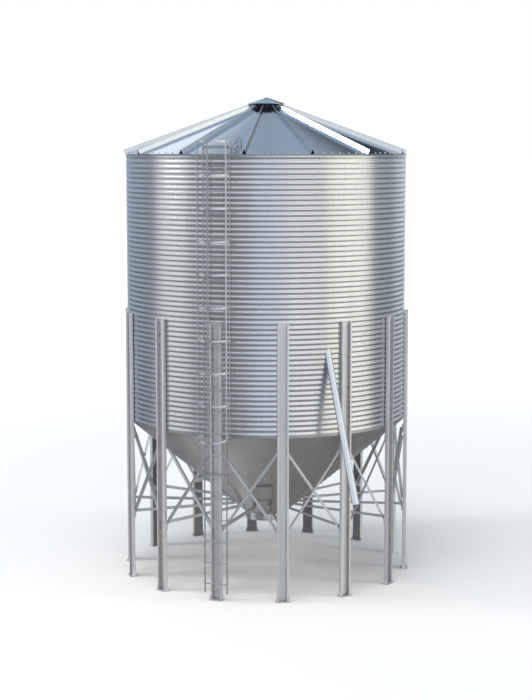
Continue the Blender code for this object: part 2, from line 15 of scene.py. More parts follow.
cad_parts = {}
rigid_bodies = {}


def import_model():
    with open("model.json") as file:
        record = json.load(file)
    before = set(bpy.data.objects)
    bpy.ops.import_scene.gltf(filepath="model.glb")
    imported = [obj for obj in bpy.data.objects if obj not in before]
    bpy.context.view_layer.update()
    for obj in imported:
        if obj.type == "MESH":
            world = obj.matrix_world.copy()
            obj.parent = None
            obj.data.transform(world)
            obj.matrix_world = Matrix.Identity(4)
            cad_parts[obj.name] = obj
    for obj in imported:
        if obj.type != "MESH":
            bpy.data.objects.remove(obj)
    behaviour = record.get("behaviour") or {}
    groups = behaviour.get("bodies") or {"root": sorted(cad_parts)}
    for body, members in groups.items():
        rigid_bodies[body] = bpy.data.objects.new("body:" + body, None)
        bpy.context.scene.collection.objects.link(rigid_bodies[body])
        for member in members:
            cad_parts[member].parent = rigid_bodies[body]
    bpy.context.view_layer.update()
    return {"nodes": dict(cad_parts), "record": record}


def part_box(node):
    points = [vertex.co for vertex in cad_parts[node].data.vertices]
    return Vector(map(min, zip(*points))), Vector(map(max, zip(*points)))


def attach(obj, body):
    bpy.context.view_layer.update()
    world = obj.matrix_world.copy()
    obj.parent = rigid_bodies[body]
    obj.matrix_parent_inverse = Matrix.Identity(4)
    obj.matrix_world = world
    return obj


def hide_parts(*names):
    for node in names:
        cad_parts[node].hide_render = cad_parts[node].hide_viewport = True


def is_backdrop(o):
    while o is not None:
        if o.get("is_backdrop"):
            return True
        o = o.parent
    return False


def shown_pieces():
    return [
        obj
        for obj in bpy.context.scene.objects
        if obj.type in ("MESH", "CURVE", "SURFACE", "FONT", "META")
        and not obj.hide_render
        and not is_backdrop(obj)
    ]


for old in list(bpy.data.objects):
    bpy.data.objects.remove(old, do_unlink=True)
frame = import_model()
print("solids in the frame:", len(frame["nodes"]))

# %% [markdown]
# ## Measures of the silo
# The solids already hold the sizes, so most measures are read from their boxes. The axis of the round
# bin lies at the middle of the ring under the wall. The few numbers that a box can't give, such as the
# slope of the roof and of the hopper, are written down once here.

# %% Read the measures from the solids
ring_low, ring_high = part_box("hopper_ring")
AXIS = Vector((0, (ring_low.y + ring_high.y) / 2, 0))
WALL_RADIUS = ring_high.x
WALL_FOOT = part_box("wall_sheet_1")[0].z
WALL_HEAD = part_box("wall_sheet_1")[1].z
EAVE_HEIGHT = 8.25
LEGS = 14
SHEETS = 7
BAY = 360 / LEGS
SHEET = 360 / SHEETS
ROOF_SLOPE = 0.36
ROOF_THICKNESS = 0.0085
HOPPER_ANGLE = radians(40)
HOPPER_APEX = 0.7645
print("wall radius", round(WALL_RADIUS, 4), "wall from", round(WALL_FOOT, 4), "to", round(WALL_HEAD, 4))

# %% Place points round the axis
def round_the_axis(azimuth, radius, height):
    angle = radians(azimuth)
    return Vector((radius * sin(angle), AXIS.y - radius * cos(angle), height))


def roof_top(radius):
    return EAVE_HEIGHT + (WALL_RADIUS - radius) * ROOF_SLOPE + ROOF_THICKNESS


def hopper_height(radius):
    return HOPPER_APEX + radius * tan(HOPPER_ANGLE)


print("roof meets the eave at", round(roof_top(WALL_RADIUS), 3))

# %% [markdown]
# ## The camera
# The picture was taken from about 31 m away and 8.3 m up, looking slightly down, with the ladder a
# little to the left of the middle. A long lens gives the flat perspective of the legs. The lens value
# belongs to the long side of the picture, which is its height.

# %% Set up the camera
CAMERA_AZIMUTH = 19.3
CAMERA_DISTANCE = 31.122
CAMERA_HEIGHT = 8.316
CAMERA_DIP = 7.232
LENS_IN_PIXELS = 1571.5
PICTURE_HEIGHT = 700

view = bpy.data.cameras.new("camera")
view.sensor_width = 36
view.lens = view.sensor_width * LENS_IN_PIXELS / PICTURE_HEIGHT
view.clip_end = 5000
camera = bpy.data.objects.new("camera", view)
bpy.context.scene.collection.objects.link(camera)
camera.location = round_the_axis(CAMERA_AZIMUTH, CAMERA_DISTANCE, CAMERA_HEIGHT)
camera.rotation_euler = (radians(90 - CAMERA_DIP), 0, radians(CAMERA_AZIMUTH))
bpy.context.scene.camera = camera
bpy.context.scene.view_settings.view_transform = "Standard"
print("lens", round(view.lens, 2), "mm")

# %% [markdown]
# ## The studio
# Polished metal has hardly a colour of its own: it shows what stands round it. The wall's bright and
# dark upright bands are a photo studio seen in a round mirror, so the studio is built first, in the
# world's background. It starts as a dim room, and soft panels of light are laid over it one by one. A
# panel is a direction, a width and a height in degrees, and a colour. Directions are counted from the
# camera, and grow towards the right of the picture.

# %% Find the direction of a ray
world = bpy.data.worlds.new("studio")
bpy.context.scene.world = world
world.use_nodes = True
sky = world.node_tree
sky.nodes.clear()


def sky_math(operation, first, second=None):
    """Adds a sum to the world's nodes. Each value is a number or another node's output."""
    node = sky.nodes.new("ShaderNodeMath")
    node.operation = operation
    for socket, value in zip(node.inputs, (first, second)):
        if isinstance(value, (int, float)):
            socket.default_value = value
        elif value is not None:
            sky.links.new(value, socket)
    return node.outputs["Value"]


ray = sky.nodes.new("ShaderNodeTexCoord")
ray_parts = sky.nodes.new("ShaderNodeSeparateXYZ")
sky.links.new(ray.outputs["Generated"], ray_parts.inputs["Vector"])
backwards = sky_math("MULTIPLY", ray_parts.outputs["Y"], -1)
turn_of_ray = sky_math("MULTIPLY", sky_math("ARCTAN2", ray_parts.outputs["X"], backwards), degrees(1))
compass = sky_math("SUBTRACT", turn_of_ray, CAMERA_AZIMUTH)
climb = sky_math("MULTIPLY", sky_math("ARCSINE", ray_parts.outputs["Z"]), degrees(1))
print("world nodes for the direction:", len(sky.nodes))

# %% Lay soft panels over the dim room
DIM_ROOM = (0.28, 0.28, 0.29)
# (what it is, direction, half width, height of its middle, half height, softness, colour)
PANELS = [
    ("glow from the floor", 0, 181, -90, 38, 12, (0.55, 0.55, 0.55)),
    ("ground ahead", 45, 52, -30, 24, 6, (0.37, 0.37, 0.38)),
    ("ground behind left", -132, 36, -50, 18, 8, (1.20, 1.20, 1.20)),
    ("ground behind right", 140, 42, -64, 14, 8, (0.36, 0.36, 0.36)),
    ("shade behind left", -140, 26, -25, 22, 5, (0.16, 0.19, 0.23)),
    ("shade behind right", 113, 16, -25, 20, 5, (0.16, 0.18, 0.21)),
    ("sky", 0, 181, 70, 34, 8, (0.40, 0.54, 0.73)),
    ("walls all round", 0, 181, 4, 14, 8, (0.33, 0.38, 0.44)),
    ("canopy in front", -12, 92, 28, 14, 5, (0.93, 0.96, 1.00)),
    ("left softbox", -82, 17, 9, 25, 8, (1.00, 1.03, 1.09)),
    ("cool window", 2, 15, 3, 14, 8, (0.84, 1.02, 1.28)),
    ("pale wall", 30, 16, 3, 14, 8, (1.34, 1.34, 1.38)),
    ("warm softbox", 72, 23, 8, 26, 8, (1.42, 1.42, 1.28)),
    ("dark gap", 112, 13, 9, 13, 5, (0.46, 0.52, 0.60)),
    ("pale back wall", 146, 18, 9, 13, 5, (0.76, 0.84, 0.92)),
    ("slate wall", -137, 23, 11, 14, 5, (0.42, 0.54, 0.66)),
    ("bright window behind", -166, 18, 23, 10, 4, (1.05, 1.14, 1.25)),
    ("dark window behind", 169, 14, 20, 12, 4, (0.03, 0.045, 0.06)),
    ("backdrop", 180, 17, -12, 20, 2, (1.00, 1.00, 1.00)),
]


def edge_mask(distance, half, softness):
    """1 inside the panel's edge and 0 outside it, with a soft step between."""
    fade = sky.nodes.new("ShaderNodeMapRange")
    fade.interpolation_type = "SMOOTHSTEP"
    fade.inputs["From Min"].default_value = half - softness
    fade.inputs["From Max"].default_value = half + softness
    fade.inputs["To Min"].default_value = 1
    fade.inputs["To Max"].default_value = 0
    sky.links.new(distance, fade.inputs["Value"])
    return fade.outputs["Result"]


def lay_panel(under, direction, half_width, height, half_height, softness, colour):
    sideways = sky_math("PINGPONG", sky_math("SUBTRACT", compass, direction), 180)
    upwards = sky_math("ABSOLUTE", sky_math("SUBTRACT", climb, height))
    inside = edge_mask(sideways, half_width, softness)
    share = sky_math("MULTIPLY", inside, edge_mask(upwards, half_height, softness))
    blend = sky.nodes.new("ShaderNodeMix")
    blend.data_type = "RGBA"
    sky.links.new(share, blend.inputs["Factor"])
    if under is None:
        blend.inputs["A"].default_value = (*DIM_ROOM, 1)
    else:
        sky.links.new(under, blend.inputs["A"])
    blend.inputs["B"].default_value = (*colour, 1)
    return blend.outputs["Result"]


light = None
for what, *panel in PANELS:
    light = lay_panel(light, *panel)
glow = sky.nodes.new("ShaderNodeBackground")
sky.links.new(light, glow.inputs["Color"])
studio_out = sky.nodes.new("ShaderNodeOutputWorld")
sky.links.new(glow.outputs["Background"], studio_out.inputs["Surface"])
print("panels of light:", len(PANELS))

# %% [markdown]
# ## Three soft lamps
# Panels light everything evenly. A very large lamp high above draws the broad soft shadow under the
# silo, and two round lamps, one on each side, shape it: the left one is stronger, so the shadow lies a
# little to the right. The lamp above isn't seen in the metal, only on rough things such as the floor.

# %% Hang the lamps
LAMP_WHITE = (0.97, 1.0, 1.03)


def soft_lamp(name, azimuth, distance, height, size, power):
    lamp = bpy.data.lights.new(name, "AREA")
    lamp.shape = "DISK"
    lamp.size = size
    lamp.energy = power
    lamp.color = LAMP_WHITE
    holder = bpy.data.objects.new(name, lamp)
    bpy.context.scene.collection.objects.link(holder)
    holder.location = round_the_axis(CAMERA_AZIMUTH + azimuth, distance, height)
    aim = AXIS + Vector((0, 0, 4)) - holder.location
    holder.rotation_euler = aim.to_track_quat("-Z", "Y").to_euler()
    return holder


soft_lamp("lamp_left", -82, 26, 22, 9, 2600)
soft_lamp("lamp_right", 74, 26, 24, 6, 900)
overhead = soft_lamp("lamp_above", -22, 18, 58, 32, 13500)
overhead.visible_glossy = False

# %% [markdown]
# ## The floor
# A plain pale floor carries the soft shadow of the silo. It is one wide sheet. Close by it is plain
# paint, and far away a little glow is added, so that it runs into the white of the backdrop. Mirrors of
# metal don't see it, as in a studio where the floor is added last: they see the dim room below.

# %% Lay the floor
FLOOR_RADIUS = 2000
bpy.ops.object.select_all(action="DESELECT")
bpy.ops.mesh.primitive_circle_add(vertices=96, radius=FLOOR_RADIUS, fill_type="NGON", location=(0, 0, 0))
floor = bpy.context.object
floor.name = "floor"
floor.visible_glossy = False
paint = bpy.data.materials.new("floor_paint")
paint.use_nodes = True
floor_nodes = paint.node_tree.nodes
floor_links = paint.node_tree.links
floor_shader = floor_nodes["Principled BSDF"]
floor_shader.inputs["Base Color"].default_value = (0.94, 0.87, 0.80, 1)
floor_shader.inputs["Roughness"].default_value = 0.9
floor_shader.inputs["Specular IOR Level"].default_value = 0.0
spot = floor_nodes.new("ShaderNodeTexCoord")
how_far = floor_nodes.new("ShaderNodeVectorMath")
how_far.operation = "LENGTH"
floor_links.new(spot.outputs["Object"], how_far.inputs[0])
fade = floor_nodes.new("ShaderNodeMapRange")
fade.interpolation_type = "SMOOTHSTEP"
fade.inputs["From Min"].default_value = 6
fade.inputs["From Max"].default_value = 45
fade.inputs["To Max"].default_value = 0.58
floor_links.new(how_far.outputs["Value"], fade.inputs["Value"])
floor_shader.inputs["Emission Color"].default_value = (1, 1, 1, 1)
floor_links.new(fade.outputs["Result"], floor_shader.inputs["Emission Strength"])
floor.data.materials.append(paint)
floor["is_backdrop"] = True
print("floor radius", FLOOR_RADIUS)

# %% [markdown]
# ## Galvanised metal
# Steel that was dipped in zinc has a grey shine with small crystal flakes in slightly different greys,
# soft clouds where the zinc is thicker, and faint upright streaks from rain. One recipe makes all the
# finishes here: a cell pattern for the flakes, a soft noise for the clouds, a stretched noise for the
# streaks, and the same patterns again for the roughness and a very shallow bump.

# %% A recipe for galvanised metal
def fill_ramp(ramp, stops):
    """Sets the stops of a colour ramp from (position, red, green, blue)."""
    while len(ramp.elements) > 1:
        ramp.elements.remove(ramp.elements[-1])
    ramp.elements[0].position = stops[0][0]
    ramp.elements[0].color = (*stops[0][1:], 1)
    for position, red, green, blue in stops[1:]:
        ramp.elements.new(position).color = (red, green, blue, 1)


def galvanised(name, dark, light, roughness, flake=0.03, spread=0.04, dents=0.04, metallic=1.0):
    metal = bpy.data.materials.new(name)
    metal.use_nodes = True
    nodes = metal.node_tree.nodes
    links = metal.node_tree.links
    shader = nodes["Principled BSDF"]
    shader.inputs["Metallic"].default_value = metallic
    where = nodes.new("ShaderNodeTexCoord")

    flakes = nodes.new("ShaderNodeTexVoronoi")
    flakes.inputs["Scale"].default_value = 1 / flake
    links.new(where.outputs["Object"], flakes.inputs["Vector"])
    flake_tone = nodes.new("ShaderNodeSeparateColor")
    links.new(flakes.outputs["Color"], flake_tone.inputs["Color"])

    clouds = nodes.new("ShaderNodeTexNoise")
    clouds.inputs["Scale"].default_value = 1.3
    clouds.inputs["Detail"].default_value = 5
    links.new(where.outputs["Object"], clouds.inputs["Vector"])

    stretched = nodes.new("ShaderNodeMapping")
    stretched.inputs["Scale"].default_value = (9, 9, 0.5)
    links.new(where.outputs["Object"], stretched.inputs["Vector"])
    streaks = nodes.new("ShaderNodeTexNoise")
    streaks.inputs["Scale"].default_value = 1.0
    streaks.inputs["Detail"].default_value = 4
    links.new(stretched.outputs["Vector"], streaks.inputs["Vector"])

    cloudy = nodes.new("ShaderNodeMix")
    cloudy.inputs["Factor"].default_value = 0.45
    links.new(clouds.outputs["Fac"], cloudy.inputs["A"])
    links.new(streaks.outputs["Fac"], cloudy.inputs["B"])
    tone = nodes.new("ShaderNodeMix")
    tone.inputs["Factor"].default_value = 0.20
    links.new(cloudy.outputs["Result"], tone.inputs["A"])
    links.new(flake_tone.outputs["Red"], tone.inputs["B"])

    colour = nodes.new("ShaderNodeValToRGB")
    fill_ramp(colour.color_ramp, [(0.25, *dark), (0.75, *light)])
    links.new(tone.outputs["Result"], colour.inputs["Fac"])
    links.new(colour.outputs["Color"], shader.inputs["Base Color"])

    sheen = nodes.new("ShaderNodeMapRange")
    sheen.inputs["From Min"].default_value = 0.25
    sheen.inputs["From Max"].default_value = 0.75
    sheen.inputs["To Min"].default_value = roughness + spread
    sheen.inputs["To Max"].default_value = roughness - spread
    links.new(tone.outputs["Result"], sheen.inputs["Value"])
    links.new(sheen.outputs["Result"], shader.inputs["Roughness"])

    ripples = nodes.new("ShaderNodeTexNoise")
    ripples.inputs["Scale"].default_value = 14
    ripples.inputs["Detail"].default_value = 6
    links.new(where.outputs["Object"], ripples.inputs["Vector"])
    bump = nodes.new("ShaderNodeBump")
    bump.inputs["Strength"].default_value = dents
    bump.inputs["Distance"].default_value = 0.01
    links.new(ripples.outputs["Fac"], bump.inputs["Height"])
    links.new(bump.outputs["Normal"], shader.inputs["Normal"])
    return metal


FINISHES = {
    "galvanised_sheet": galvanised(
        "corrugated_sheet", (0.56, 0.565, 0.57), (0.64, 0.645, 0.65), 0.22, dents=0.012),
    "roof_sheet": galvanised(
        "roof_sheet", (0.62, 0.65, 0.68), (0.70, 0.73, 0.76), 0.16, spread=0.03, dents=0.010),
    "hopper_plate": galvanised(
        "hopper_plate", (0.34, 0.34, 0.34), (0.42, 0.42, 0.42), 0.46, metallic=0.9),
    "leg_steel": galvanised(
        "leg_steel", (0.56, 0.55, 0.54), (0.66, 0.65, 0.64), 0.42, metallic=0.5),
    # Painted shade: a darker, duller metal for the legs' faces that point to the axis, standing in for
    # the shade under the silo.
    "leg_painted_shade": galvanised(
        "leg_painted_shade", (0.15, 0.15, 0.15), (0.22, 0.22, 0.22), 0.5, metallic=0.4),
    "bracing_steel": galvanised(
        "bracing_steel", (0.48, 0.48, 0.48), (0.58, 0.58, 0.58), 0.40, metallic=0.6),
    "ladder_steel": galvanised(
        "ladder_steel", (0.46, 0.46, 0.47), (0.56, 0.56, 0.57), 0.28, metallic=0.85),
    "tube_steel": galvanised(
        "tube_steel", (0.62, 0.66, 0.70), (0.74, 0.78, 0.82), 0.16, dents=0.02),
    "dark_steel": galvanised(
        "dark_collar", (0.02, 0.02, 0.028), (0.05, 0.05, 0.06), 0.6, metallic=0.4),
    "band_steel": galvanised("band_steel", (0.36, 0.35, 0.35), (0.44, 0.43, 0.43), 0.40),
    "bolt": galvanised("bolt_steel", (0.52, 0.52, 0.53), (0.70, 0.70, 0.71), 0.34, flake=0.008),
}
print("finishes:", sorted(FINISHES))

# %% Give the carried-over solids their finish
for part in frame["record"]["subparts"]:
    solid = frame["nodes"][part["node"]]
    solid.data.materials.clear()
    solid.data.materials.append(FINISHES[part["material_slot"]])

# %% [markdown]
# ## Tools for drawing and turning
# Most of this silo is sheet metal, so a piece often starts as a line: the edge of the sheet seen end on.
# A plane's corners are merged to one point, and the point is extruded from place to place. The line is
# then turned about the silo's axis with Spin, or extruded into a strip. Copies go round the axis with
# their place kept in their mesh.

# %% Choose what an operator works on
def only(piece):
    bpy.ops.object.select_all(action="DESELECT")
    piece.select_set(True)
    bpy.context.view_layer.objects.active = piece


def open_for_editing(piece):
    only(piece)
    bpy.ops.object.mode_set(mode="EDIT")
    bpy.ops.mesh.select_all(action="SELECT")


def close_editing():
    bpy.ops.object.mode_set(mode="OBJECT")


def pick(piece, kind, wanted):
    """Selects only the points, edges or faces whose middle passes the test, in edit mode."""
    bpy.ops.mesh.select_mode(type=kind)
    bpy.ops.mesh.select_all(action="DESELECT")
    cage = bmesh.from_edit_mesh(piece.data)
    items = {"VERT": cage.verts, "EDGE": cage.edges, "FACE": cage.faces}[kind]
    for item in items:
        corners = [item] if kind == "VERT" else item.verts
        middle = sum((corner.co for corner in corners), Vector()) / len(corners)
        if wanted(middle, item):
            item.select_set(True)
    cage.select_flush_mode()
    bmesh.update_edit_mesh(piece.data)


def place_in_mesh(piece):
    only(piece)
    bpy.ops.object.transform_apply(location=True, rotation=True, scale=True)


print("helpers ready")

# %% Draw a line and turn it
def draw_line(name, points, closed=False):
    """A line of edges through the points, drawn by extruding one point. It stays open for editing."""
    bpy.ops.object.select_all(action="DESELECT")
    bpy.ops.mesh.primitive_plane_add(size=0.1, location=(0, 0, 0))
    line = bpy.context.object
    line.name = name
    line.data.name = name
    open_for_editing(line)
    bpy.ops.mesh.select_mode(type="VERT")
    bpy.ops.mesh.merge(type="CENTER")
    bpy.ops.transform.translate(value=points[0])
    for start, end in zip(points, points[1:]):
        step = Vector(end) - Vector(start)
        bpy.ops.mesh.extrude_region_move(TRANSFORM_OT_translate={"value": step})
    if closed:
        first, last = Vector(points[0]), Vector(points[-1])
        near = 1e-5
        pick(line, "VERT", lambda at, item: min((at - first).length, (at - last).length) < near)
        bpy.ops.mesh.edge_face_add()
    return line


def spin(sweep, steps):
    """Turns the whole line about the silo's axis through the sweep, which starts at its own azimuth."""
    bpy.ops.mesh.select_all(action="SELECT")
    bpy.ops.mesh.spin(steps=steps, angle=radians(sweep), center=AXIS, axis=(0, 0, 1))
    bpy.ops.mesh.select_all(action="SELECT")
    bpy.ops.mesh.remove_doubles(threshold=0.0001)
    bpy.ops.mesh.normals_make_consistent(inside=False)


def face_away_from(piece, centre):
    """Flips an open sheet whose faces point towards the centre. Works in edit mode."""
    cage = bmesh.from_edit_mesh(piece.data)
    score = sum(face.normal.dot(face.calc_center_median() - Vector(centre)) for face in cage.faces)
    if score < 0:
        bpy.ops.mesh.select_all(action="SELECT")
        bpy.ops.mesh.flip_normals()


def finish_modifiers(piece):
    only(piece)
    for modifier in list(piece.modifiers):
        bpy.ops.object.modifier_apply(modifier=modifier.name)


def thicken(piece, thickness):
    """Gives a sheet its thickness on the side that its faces turn their back to."""
    shell = piece.modifiers.new("thickness", "SOLIDIFY")
    shell.thickness = thickness
    shell.offset = -1
    shell.use_even_offset = True
    finish_modifiers(piece)


print("line tools ready")

# %% Copy a piece round the axis and finish it
def turned_copy(piece, name, azimuth):
    copy = piece.copy()
    copy.data = piece.data.copy()
    copy.name = name
    copy.data.name = name
    bpy.context.scene.collection.objects.link(copy)
    turn = Matrix.Rotation(radians(azimuth), 4, "Z")
    turn = Matrix.Translation(AXIS) @ turn @ Matrix.Translation(-AXIS)
    copy.data.transform(turn)
    return copy


def finish_piece(piece, slot, stands_for=(), finish=None, smooth=35):
    """Shades a finished piece, gives it its metal, and hangs it on the silo."""
    if smooth:
        only(piece)
        bpy.ops.object.shade_smooth_by_angle(angle=radians(smooth))
    piece.data.materials.clear()
    piece.data.materials.append(FINISHES[finish or slot])
    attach(piece, "root")
    if stands_for:
        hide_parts(*stands_for)
    return piece


def triangles(piece):
    return sum(len(face.vertices) - 2 for face in piece.data.polygons)


print("copy tools ready")

# %% [markdown]
# ## The corrugated wall
# The wall is rolled sheet 1.5 mm thick with 54 waves, one above the other. Drawing all the waves by
# hand would be slow, so one wave is drawn as a line, an Array stacks it, Spin turns the stack through
# one sheet, and Solidify gives the steel its thickness. The six other sheets are copies.

# %% Draw one wave and stack it
WAVES = 54
WAVE_DEPTH = 0.0085
WAVE_STEPS = 8
SHEET_STEPS = 20
SHEET_STEEL = 0.0015
wave_height = (WALL_HEAD - WALL_FOOT) / WAVES


def wave_point(step):
    share = step / WAVE_STEPS
    inset = WAVE_DEPTH * (1 - cos(2 * pi * share)) / 2
    return round_the_axis(0, WALL_RADIUS - inset, WALL_FOOT + wave_height * share)


wall = draw_line("wall_corrugated_1", [wave_point(step) for step in range(WAVE_STEPS + 1)])
close_editing()
stack = wall.modifiers.new("stack", "ARRAY")
stack.use_relative_offset = False
stack.use_constant_offset = True
stack.constant_offset_displace = (0, 0, wave_height)
stack.count = WAVES
stack.use_merge_vertices = True
stack.merge_threshold = 0.0001
finish_modifiers(wall)
print("one wave is", round(wave_height * 1000, 1), "mm high")

# %% Turn the stack into a sheet and copy it
open_for_editing(wall)
spin(SHEET, SHEET_STEPS)
face_away_from(wall, AXIS + Vector((0, 0, 5)))
close_editing()
thicken(wall, SHEET_STEEL)
for number in range(1, SHEETS):
    sheet = turned_copy(wall, f"wall_corrugated_{number + 1}", number * SHEET)
    finish_piece(sheet, "galvanised_sheet", [f"wall_sheet_{number + 1}"], smooth=60)
finish_piece(wall, "galvanised_sheet", ["wall_sheet_1"], smooth=60)
print("triangles in a sheet:", triangles(wall))

# %% [markdown]
# ## The plain bands
# A plain ring closes the wall at the foot and at the eave. Each is a small section with broken corners,
# drawn as a closed line and turned once round the axis in 112 steps, which looks round from close by.

# %% Turn the two rings
ROUND_STEPS = 112
RING_STEEL = 0.03
CORNER = 0.003


def plain_ring(name, node, finish):
    low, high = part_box(node)
    inner = WALL_RADIUS - RING_STEEL
    section = [
        (inner, low.z), (WALL_RADIUS - CORNER, low.z), (WALL_RADIUS, low.z + CORNER),
        (WALL_RADIUS, high.z - CORNER), (WALL_RADIUS - CORNER, high.z), (inner, high.z),
    ]
    ring = draw_line(name, [round_the_axis(0, r, z) for r, z in section], closed=True)
    spin(360, ROUND_STEPS)
    close_editing()
    return finish_piece(ring, "galvanised_sheet", [node], finish)


foot_band = plain_ring("foot_band", "hopper_ring", "band_steel")
eave_band = plain_ring("eave_band", "eave_ring", "galvanised_sheet")
print("rings:", triangles(foot_band), "and", triangles(eave_band), "triangles")

# %% [markdown]
# ## The roof
# Seven sheets of smooth galvanised steel make the cone of the roof. Each is a radial line, spun through
# one sheet and given its thickness. A lip turned down and a little inwards at the eave shows as a dark
# line. Two standing ribs on each sheet stiffen it. A rib is folded from a strip: a box is narrowed at
# the top and towards the cap, its underside and ends are opened, and what is left is a thin hollow
# profile, dark inside where it ends at the eave.

# %% Turn one roof sheet
ROOF_REACH = 2.7648
ROOF_HOLE = 0.25
ROOF_LIP = 0.030
ROOF_STEEL = 0.003

line = [
    round_the_axis(0, ROOF_HOLE, roof_top(ROOF_HOLE)),
    round_the_axis(0, 1.5, roof_top(1.5)),
    round_the_axis(0, ROOF_REACH - 0.002, roof_top(ROOF_REACH - 0.002)),
    round_the_axis(0, ROOF_REACH, roof_top(ROOF_REACH) - 0.002),
    round_the_axis(0, ROOF_REACH - 0.010, roof_top(ROOF_REACH) - ROOF_LIP),
]
roof = draw_line("roof_panel_1", line)
spin(SHEET, SHEET_STEPS)
face_away_from(roof, AXIS + Vector((0, 0, 5)))
close_editing()
thicken(roof, ROOF_STEEL)
print("roof sheet:", triangles(roof), "triangles")

# %% Fold one rib
RIB_HEIGHT = 0.084
RIB_FOOT = 0.075
RIB_SHIFT = -1.7
RIB_TOP = 0.018
RIB_TAPER = 0.45
RIB_FLANGE = 0.006
RIB_INNER_END = 0.27
RIB_STEEL = 0.002
roof_lean = atan(ROOF_SLOPE)
rib_run = (ROOF_REACH - RIB_INNER_END) / cos(roof_lean)

bpy.ops.object.select_all(action="DESELECT")
bpy.ops.mesh.primitive_cube_add(size=1, location=(0, 0, RIB_HEIGHT * cos(roof_lean) / 2))
rib = bpy.context.object
rib.name = "rib"
rib.scale = (RIB_FOOT, rib_run, RIB_HEIGHT * cos(roof_lean))
place_in_mesh(rib)
open_for_editing(rib)
pick(rib, "FACE", lambda at, face: face.normal.z > 0.9)
bpy.ops.transform.resize(value=(RIB_TOP / RIB_FOOT, 1, 1))
pick(rib, "VERT", lambda at, item: at.y > 0)
bpy.ops.transform.resize(value=(RIB_TAPER, 1, 1))
pick(rib, "FACE", lambda at, face: face.normal.z < -0.9 or abs(face.normal.y) > 0.9)
bpy.ops.mesh.delete(type="ONLY_FACE")
for side in (-1, 1):
    pick(rib, "EDGE", lambda at, edge: at.x * side > RIB_TOP and at.z < 0.001 and edge.calc_length() > 1)
    bpy.ops.mesh.extrude_region_move(TRANSFORM_OT_translate={"value": (side * RIB_FLANGE, 0, 0)})
pick(rib, "EDGE", lambda at, edge: len(edge.link_faces) == 2 and edge.calc_length() > 1)
bpy.ops.mesh.bevel(offset=0.003, segments=2, affect="EDGES")
face_away_from(rib, (0, 0, -1))
close_editing()
thicken(rib, RIB_STEEL)
print("rib:", triangles(rib), "triangles,", round(rib_run, 3), "m long")

# %% Stand the ribs on the sheets
rib_middle = (ROOF_REACH + RIB_INNER_END) / 2
rib.rotation_euler = (roof_lean, 0, 0)
rib.location = round_the_axis(0, rib_middle, roof_top(rib_middle) + RIB_STEEL)
place_in_mesh(rib)


def join(pieces):
    """Makes one object of several. The first one keeps its name."""
    bpy.ops.object.select_all(action="DESELECT")
    for piece in pieces:
        piece.select_set(True)
    bpy.context.view_layer.objects.active = pieces[0]
    bpy.ops.object.join()
    return pieces[0]


ribs = [turned_copy(rib, name, bay * BAY + RIB_SHIFT) for name, bay in (("rib_a", 0.5), ("rib_b", 1.5))]
join([roof] + ribs)
bpy.data.objects.remove(rib, do_unlink=True)
for number in range(1, SHEETS):
    sheet = turned_copy(roof, f"roof_panel_{number + 1}", number * SHEET)
    finish_piece(sheet, "roof_sheet", [f"roof_sheet_{number + 1}"], smooth=12)
finish_piece(roof, "roof_sheet", ["roof_sheet_1"], smooth=12)
print("roof sheet with ribs:", triangles(roof), "triangles")

# %% [markdown]
# ## The cap and its collar
# Grain comes in through the hole in the roof's middle, so a dark upright collar stands in it and a
# small pressed cone covers it. The collar is turned from a closed section, and the cap from a line that
# starts and ends on the axis. The cap's rim is rolled, which shows as a thin bright line.

# %% Turn the collar and the cap
COLLAR_REACH = 0.2497
CAP_REACH = 0.37
CAP_APEX = 9.35
CAP_EDGE = 9.228
SMALL_ROUND_STEPS = 64
collar_low, collar_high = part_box("roof_collar")
section = [
    (COLLAR_REACH - 0.01, collar_low.z), (COLLAR_REACH, collar_low.z),
    (COLLAR_REACH, collar_high.z - 0.004), (COLLAR_REACH - 0.01, collar_high.z - 0.001),
]
collar = draw_line("collar", [round_the_axis(0, r, z) for r, z in section], closed=True)
spin(360, SMALL_ROUND_STEPS)
close_editing()
finish_piece(collar, "dark_steel", ["roof_collar"])

section = [
    (0, CAP_APEX), (0.03, CAP_APEX - 0.009),
    (CAP_REACH - 0.004, CAP_EDGE + 0.002), (CAP_REACH, CAP_EDGE - 0.003),
    (CAP_REACH - 0.001, CAP_EDGE - 0.008), (CAP_REACH - 0.006, CAP_EDGE - 0.006),
    (0.03, CAP_APEX - 0.017), (0, CAP_APEX - 0.008),
]
cap = draw_line("cap", [round_the_axis(0, r, z) for r, z in section])
spin(360, SMALL_ROUND_STEPS)
close_editing()
finish_piece(cap, "roof_sheet", ["roof_cap"])
print("collar and cap:", triangles(collar), triangles(cap))

# %% [markdown]
# ## A bolt
# Hundreds of hexagon bolts hold the silo together, so one light bolt is made and copied: a six-sided
# cylinder with its top edge broken, on a round washer. Each copy is turned so that its head points away
# from its plate, and all the bolts of a group become one piece.

# %% Make one bolt
def make_bolt(name, across):
    """A bolt head that stands on z = 0 and points up."""
    bpy.ops.object.select_all(action="DESELECT")
    bpy.ops.mesh.primitive_cylinder_add(vertices=12, radius=across * 0.85, depth=across * 0.14,
                                        location=(0, 0, across * 0.07))
    washer = bpy.context.object
    bpy.ops.object.select_all(action="DESELECT")
    bpy.ops.mesh.primitive_cylinder_add(vertices=6, radius=across * 0.56, depth=across * 0.5,
                                        location=(0, 0, across * 0.38))
    head = bpy.context.object
    head.name = name
    for piece in (washer, head):
        place_in_mesh(piece)
    open_for_editing(head)
    pick(head, "FACE", lambda at, face: face.normal.z > 0.9)
    bpy.ops.mesh.inset(thickness=across * 0.09, depth=0)
    bpy.ops.transform.translate(value=(0, 0, across * 0.06))
    pick(head, "FACE", lambda at, face: face.normal.z < -0.9)
    bpy.ops.mesh.delete(type="FACE")
    close_editing()
    return join([head, washer])


